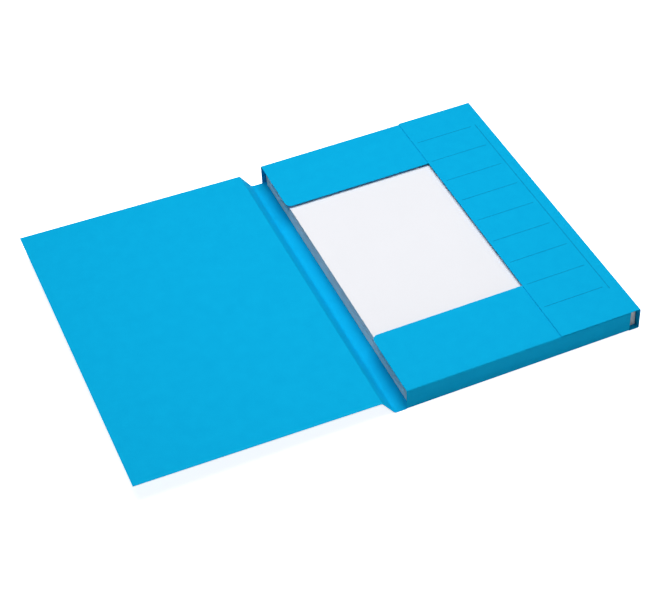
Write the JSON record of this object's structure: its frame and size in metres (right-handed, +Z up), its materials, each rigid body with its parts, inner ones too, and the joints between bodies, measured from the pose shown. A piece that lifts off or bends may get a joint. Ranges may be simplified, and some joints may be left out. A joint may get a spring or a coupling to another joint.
{
  "type": "three flap folder",
  "caption": "Card document folder lying open, with its end flaps and fore-edge flap folded over a stack of plain paper.",
  "frame": {"origin": "on the surface the folder lies on, under the middle of the open folder's box", "axes": "+X from the spine to the fore-edge, +Y from the foot to the head, +Z up out of the back panel"},
  "size_m": [0.495, 0.35, 0.0241],
  "materials": {
    "dyed_card": "matt blue card, dyed through",
    "paper": "plain white uncoated paper"
  },
  "bodies": {
    "back": {"back_panel_with_end_flaps": "dyed_card", "paper_stack": "paper"},
    "spine": {"spine_panel": "dyed_card"},
    "cover": {"front_cover": "dyed_card"},
    "fore_wall": {"fore_edge_wall": "dyed_card"},
    "fore_flap": {"fore_edge_flap": "dyed_card"}
  },
  "joints": [
    {"name": "spine_fold", "type": "hinge", "parent": "back", "child": "spine", "pos_m": [0.00031, 0, 0.0002], "axis": [0, 1, 0], "range_deg": [0, 41.57]},
    {"name": "cover_fold", "type": "hinge", "parent": "spine", "child": "cover", "pos_m": [-0.01529, 0, 0.01778], "axis": [0, 1, 0], "range_deg": [-5.7, 136.63]},
    {"name": "fore_wall_fold", "type": "hinge", "parent": "back", "child": "fore_wall", "pos_m": [0.24731, 0, 0.0002], "axis": [0, 1, 0], "range_deg": [0, 90]},
    {"name": "fore_flap_fold", "type": "hinge", "parent": "fore_wall", "child": "fore_flap", "pos_m": [0.24731, 0, 0.0237], "axis": [0, 1, 0], "range_deg": [0, 90]}
  ]
}
